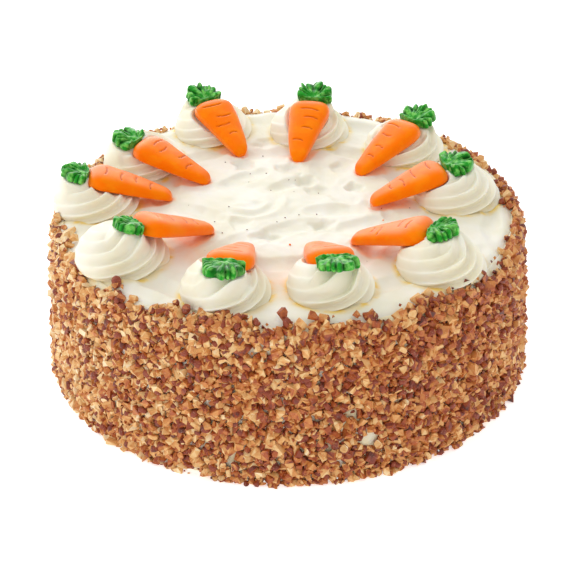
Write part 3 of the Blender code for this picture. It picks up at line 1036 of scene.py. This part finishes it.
# %% Mix the marzipan
def marzipan_finish(name, body, deep, light, patch, lit):
    paste = Finish(name)
    cloud = paste.grain(patch, detail=3.0)
    colour = paste.blend(paste.between(cloud, 0.42, 0.66), body, light)
    # painted shade: darker in the carrots' grooves and in the leaves' valleys and dips
    cut = paste.marked("cut")
    colour = paste.blend(cut, colour, deep)
    speck = paste.between(paste.cells(2.6 * MM), 0.07, 0.03)
    seldom = paste.between(paste.grain(5 * MM, detail=0.0), 0.60, 0.66)
    colour = paste.blend(speck * seldom, colour, deep)
    almond = paste.grain(0.7 * MM, detail=3.0, roughness=0.65)
    height = almond + 1.6 * paste.grain(2.4 * MM, detail=2.0)
    slant = paste.node("ShaderNodeLayerWeight", {}, {"Blend": 0.5}, output="Facing")
    return paste.done(
        base_color=colour,
        roughness=0.40 + 0.14 * cloud + 0.2 * cut,
        subsurface_weight=lit,
        subsurface_radius=(1.0, 0.30, 0.08),
        subsurface_scale=1.2 * MM,
        specular_ior_level=0.05,
        coat_weight=paste.between(slant, 0.12, 0.80),
        coat_roughness=0.40,
        coat_ior=1.5,
        normal=paste.bump(height, 0.16 * MM, 0.5),
    )


orange_marzipan = marzipan_finish(
    "orange_marzipan", paint(255, 122, 0), paint(190, 72, 8), paint(255, 134, 4), 7 * MM, lit=0.10)
green_marzipan = marzipan_finish(
    "green_marzipan", paint(40, 152, 42), paint(2, 58, 8), paint(124, 208, 98), 2.6 * MM, lit=0.15)

# %% Draw out one carrot
SIDE_ROUND, TOP_ROUND, BACK_ROUND = 0.72, 0.62, 0.45  # 1 is an ellipse, and less is squarer
EDGE_AT = 0.4  # how high the widest part of the section lies, as a share of its thickness


def carrot_ring_point(turn):
    """A point of the carrot's section, 1 half wide and 1 thick: round on top, flat at the back."""
    across = math.copysign(abs(math.cos(turn)) ** SIDE_ROUND, math.cos(turn))
    rise = math.sin(turn)
    above, below = (1 - EDGE_AT) * abs(rise) ** TOP_ROUND, EDGE_AT * abs(rise) ** BACK_ROUND
    return across, EDGE_AT + above if rise >= 0 else EDGE_AT - below


RING_POINTS = 16
stations = np.array([0.012, 0.035, 0.08, 0.15, 0.25, 0.36, 0.48, 0.60, 0.70, 0.79, 0.87, 0.935, 0.975, 1.0])
half_widths = carrot_half_width(stations)
thicknesses = carrot_thickness(stations)
half_widths[-1] *= 0.9
thicknesses[-1] *= 0.9

bpy.ops.mesh.primitive_circle_add(vertices=RING_POINTS, radius=1, fill_type="NGON")
carrot_master = name_it("carrot")
section = points_of(carrot_master)
for i, (x, y, _) in enumerate(section.copy()):
    across, up = carrot_ring_point(math.atan2(y, x) + math.pi / RING_POINTS)
    section[i] = (stations[0] * CARROT_LENGTH, across * half_widths[0], up * thicknesses[0])
set_points(carrot_master, section)
pick(carrot_master, "FACE", lambda middle: True)
for i in range(1, len(stations)):
    step = (stations[i] - stations[i - 1]) * CARROT_LENGTH
    bpy.ops.mesh.extrude_region_move(TRANSFORM_OT_translate={"value": (step, 0, 0)})
    bpy.ops.transform.resize(
        value=(1, half_widths[i] / half_widths[i - 1], thicknesses[i] / thicknesses[i - 1]),
        center_override=(stations[i] * CARROT_LENGTH, 0, 0))
bpy.ops.mesh.inset(thickness=1.2 * MM)
pick(carrot_master, "FACE", lambda middle: middle.x < stations[0] * CARROT_LENGTH + HAIR)
bpy.ops.mesh.inset(thickness=0.2 * MM)
face_outwards()
refine(carrot_master, 3)
print("one carrot has", len(carrot_master.data.polygons), "faces")

# %% Cut the grooves and lay the carrots down
GROOVE_WIDTH = 0.34 * MM
GROOVE_DEPTH = 0.55 * MM


def groove_depths(points, number):
    """0 to 1 in the cuts across a carrot: bowed, each over one part of the width."""
    pick_cut = np.random.default_rng(300 + number)
    cuts = np.zeros(len(points))
    for share in (0.80, 0.63, 0.46, 0.30):
        middle = (share + pick_cut.uniform(-0.03, 0.03)) * CARROT_LENGTH * CARROTS[number][LONG]
        wide = float(carrot_half_width(share))
        side = pick_cut.uniform(-0.30, 0.30) * wide
        half = pick_cut.uniform(0.36, 0.56) * wide
        across = points[:, 1] - side
        bow = 0.9 * MM * (across / half) ** 2 * pick_cut.choice([-1, 1]) + 0.06 * across
        line = np.exp(-(((points[:, 0] - middle - bow) / GROOVE_WIDTH) ** 2))
        cuts = np.maximum(cuts, line * (1.0 - ease(0.7 * half, half, np.abs(across))))
    return cuts * (points[:, 2] > 3 * MM)


for number in range(len(CARROTS)):
    carrot = copy_of(carrot_master, f"marzipan_carrot_{number + 1:02d}")
    points = points_of(carrot)
    share = points[:, 0] / CARROT_LENGTH
    points[:, 0] *= CARROTS[number][LONG]
    points[:, 1] += 0.8 * MM * math.sin(number * 2.4) * np.sin(share * math.pi)
    cuts = groove_depths(points, number)
    points[:, 2] -= GROOVE_DEPTH * cuts
    swell = lumps(points, 11 * MM, 80 + number)
    high = ease(1 * MM, 6 * MM, points[:, 2])
    points[:, 2] += 0.30 * MM * swell * high
    points[:, 1] *= 1 + 0.03 * swell
    set_points(carrot, out_of_frame(carrot_place(number), points))
    # the grooves are painted darker, as painted shade
    mark(carrot, "cut", cuts)
    set_down(carrot, orange_marzipan, "orange_marzipan", f"carrot_{number + 1:02d}")
bpy.data.objects.remove(carrot_master)
print(len(CARROTS), "carrots laid")

# %% [markdown]
# ## Crumbs on the cream
#
# Where hands have worked, a few crumbs stay behind: a touch of orange marzipan near the carrots,
# and specks of nut all over. Each is a small ball, pressed a little out of round.

# %% Drop the crumbs
# azimuth, distance and size in mm
ORANGE_CRUMBS = ((-88.6, 42.6, 1.3), (-17.4, 50.3, 0.9), (-128.0, 70.0, 0.8))


def crumbs(name, places, finish, slot_name):
    """Small lumps lying on the cream, all in one piece."""
    surface = points_of(cover)
    bpy.ops.object.select_all(action="DESELECT")
    balls = []
    for azimuth, distance, size in places:
        spot = round_the_cake(azimuth, distance * MM)
        nearest = np.hypot(surface[:, 0] - spot.x, surface[:, 1] - spot.y)
        nearest += np.where(surface[:, 2] > cream_top - 5 * MM, 0.0, 1.0)
        spot.z = surface[nearest.argmin(), 2] + 0.25 * size * MM
        bpy.ops.mesh.primitive_ico_sphere_add(subdivisions=2, radius=size * MM / 2, location=spot)
        ball = bpy.context.object
        ball.scale = (1.0, chance.uniform(0.6, 0.9), chance.uniform(0.5, 0.8))
        ball.rotation_euler.z = chance.uniform(0, math.pi)
        balls.append(ball)
    for ball in balls:
        ball.select_set(True)
    bpy.ops.object.join()
    piece = name_it(name)
    mark(piece, "roast", np.full(len(piece.data.polygons), 0.9), "FACE")
    set_down(piece, finish, slot_name)
    print(name, len(places))


SPECK_RANGES = ((-180, 180), (12, 104), (0.4, 0.8))  # the same three for the specks of nut
specks = [[chance.uniform(*ends) for ends in SPECK_RANGES] for _ in range(34)]
crumbs("orange_crumbs", ORANGE_CRUMBS, orange_marzipan, "orange_marzipan")
crumbs("nut_specks", specks, roasted_nut, "chopped_nuts")

# %% [markdown]
# ## The leaves
#
# Each leaf is a thick scalloped puff on a short neck. A ring is drawn up into a disc whose last
# rings shrink towards the neck, where the leaf's ribs run together. Pulling the rings in between
# the ribs makes the columns round its edge and the valleys over its top.

# %% Draw up one leaf
FLUTES = 9
LEAF_POINTS = 190
LEAF_STEPS = 30
RIBS_MEET = 1.8 * MM  # how far from the shoulder the ribs run together
# the leaf's outline from the side: size as a share, and height over the carrot's back in mm
LEAF_SIDE = ((0.60, 0.88, 0.97, 1.0, 1.0, 1.0, 0.985, 0.93, 0.80, 0.62, 0.44, 0.27, 0.12, 0.02),
             (2.3, 2.0, 2.3, 3.1, 4.5, 5.8, 6.6, 7.0, 7.1, 6.9, 6.5, 6.0, 5.7, 5.5))
# the edge's distance from the leaf's middle in mm, by degrees from straight ahead
LEAF_EDGE = ((0, 100, 111, 118, 125, 134, 150, 165, 180),
             (9.9, 9.9, 9.5, 7.8, 6.6, 6.3, 5.3, 4.75, 4.6))

length = np.concatenate([[0], np.cumsum(np.hypot(np.diff(LEAF_SIDE[0]) * 10, np.diff(LEAF_SIDE[1])))])
leaf_steps = np.linspace(0, length[-1], LEAF_STEPS)
leaf_sizes, leaf_levels = (np.interp(leaf_steps, length, row) for row in LEAF_SIDE)
leaf_master = draw_up("leaf", LEAF_POINTS, range(LEAF_STEPS), leaf_sizes)
disc = points_of(leaf_master)
leaf_ring = np.rint(disc[:, 2]).astype(int)  # one unit of height a ring, for now
leaf_turn = np.arctan2(disc[:, 1], disc[:, 0])


# %% Flute it
def leaf_points(number):
    """The leaf's points and how deep in a valley each lies; every leaf has lobes of its own."""
    own = np.random.default_rng(500 + number)
    size = np.where(np.hypot(disc[:, 0], disc[:, 1]) < 1e-6, 0.0, leaf_sizes[leaf_ring])
    level = leaf_levels[leaf_ring] * MM
    lobe = (leaf_turn / LEAF_SPREAD + 1) / 2 * FLUTES
    ends = np.clip(np.minimum(lobe, FLUTES - lobe), 0, 1)
    lobe = lobe + ends * 0.42 * np.sin(lobe * own.uniform(1.2, 2.2) + own.uniform(0, 6))
    fluted = (np.abs(leaf_turn) < LEAF_SPREAD) * 1.0
    crest = np.where(fluted > 0, np.abs(np.sin(math.pi * lobe)), 0.75)
    valley = (1 - crest) ** 1.3
    mine = np.clip(lobe, 0, FLUTES - 1e-6).astype(int)
    longer = own.uniform(-0.10, 0.06, FLUTES)[mine] * fluted * crest
    higher = own.uniform(-1.4, 0.9, FLUTES)[mine] * fluted * crest * MM
    edge = np.interp(np.degrees(np.abs(leaf_turn)), *LEAF_EDGE) * MM
    reach = edge * size * (1 + longer - 0.14 * valley * ease(0.25, 0.9, size))
    on_top = leaf_levels[leaf_ring] > 6.3
    centre = RIBS_MEET + (LEAF_MIDDLE - RIBS_MEET) * np.where(on_top | (size < 0.9), size, 1.0)
    centre = np.where(leaf_ring < LEAF_STEPS // 2, LEAF_MIDDLE, centre)
    x, y = centre + reach * np.cos(leaf_turn), reach * np.sin(leaf_turn)
    outer = ease(0.15, 0.8, size)
    z = level + ease(3 * MM, 6 * MM, level) * outer * (higher - 1.5 * MM * valley)
    return np.stack([x, y, z], axis=1), np.clip(valley * (0.35 + 0.65 * outer), 0, 1)


for number in range(len(CARROTS)):
    leaf = copy_of(leaf_master, f"marzipan_leaf_{number + 1:02d}")
    points, valley = leaf_points(number)
    top = ease(2.5 * MM, 6 * MM, points[:, 2])
    puffs = lumps(points, 3.2 * MM, 120 + number)
    points[:, 2] += (0.9 * puffs + 0.35 * lumps(points, 1.5 * MM, 140 + number)) * top * MM
    points[:, :2] *= 1 + 0.05 * lumps(points, 4 * MM, 160 + number)[:, None]
    points[:, 2] -= leaf_droop(number, points[:, 0], points[:, 1])
    points *= CARROTS[number][LEAF]
    points[:, 0] += CARROT_LENGTH * CARROTS[number][LONG] + gap
    set_points(leaf, out_of_frame(carrot_place(number), points))
    # painted shade in the leaf's valleys and in the dips between its puffs
    mark(leaf, "cut", np.clip(0.75 * valley + 0.5 * ease(0.1, 0.6, -puffs) * top, 0, 1))
    set_down(leaf, green_marzipan, "green_marzipan", f"carrot_leaf_{number + 1:02d}")
bpy.data.objects.remove(leaf_master)
print(len(CARROTS), "leaves laid")

# %% [markdown]
# ## Light and camera
#
# Food is shown in a bright, soft room: white all round, and wide windows at the back and left that
# give the cream its form and the marzipan a faint shine. The camera looks down at about thirty
# degrees from well under a metre away, with a long lens so the cake keeps its round shape.

# %% Set the stage
TABLE_GLOW = 0.50
ROOM_LIGHT = 0.89

bpy.ops.mesh.primitive_plane_add(size=8.0, location=(0, 0, -0.05 * MM))
table = name_it("table")
surface = Finish("pale_table")
veil = surface.grain(0.6, detail=2.0)
table.data.materials.append(surface.done(
    base_color=surface.blend(veil, (0.92, 0.92, 0.92, 1), (0.95, 0.95, 0.95, 1)), roughness=0.7,
    emission_color=(1.0, 1.0, 1.0, 1), emission_strength=TABLE_GLOW))

world = bpy.data.worlds.new("bright_room")
world.use_nodes = True
world.node_tree.nodes["Background"].inputs["Color"].default_value = (1.0, 0.995, 0.985, 1)
world.node_tree.nodes["Background"].inputs["Strength"].default_value = ROOM_LIGHT
bpy.context.scene.world = world
bpy.context.scene.view_settings.view_transform = "Standard"


def window(name, place, size, power):
    bpy.ops.object.light_add(type="AREA", location=place)
    lamp = name_it(name)
    lamp.data.shape = "SQUARE"
    lamp.data.size = size
    lamp.data.energy = power
    lamp.rotation_euler = (Vector((0, 0, 0.05)) - Vector(place)).to_track_quat("-Z", "Y").to_euler()


window("window_back", (-0.30, 1.15, 0.62), 1.2, 7.0)
window("window_back_left", (-0.90, 0.65, 0.95), 0.8, 3.4)
window("window_left", (-1.1, -0.5, 0.7), 0.8, 1.4)

CAMERA_DISTANCE = 0.72
CAMERA_HEIGHT_ANGLE = math.radians(31.25)
CAMERA_ROLL = math.radians(-0.56)
look_at = Vector((-0.12 * MM, 0, 31.44 * MM))
bpy.ops.object.camera_add()
camera = name_it("camera")
camera.data.lens = 84.9
camera.data.sensor_width = 36
camera.location = look_at + CAMERA_DISTANCE * Vector(
    (0, -math.cos(CAMERA_HEIGHT_ANGLE), math.sin(CAMERA_HEIGHT_ANGLE)))
aim = (look_at - camera.location).to_track_quat("-Z", "Y").to_matrix().to_4x4()
camera.rotation_euler = (aim @ Matrix.Rotation(CAMERA_ROLL, 4, "Z")).to_euler()
bpy.context.scene.camera = camera
print("camera", round(camera.location.z, 3), "m up")
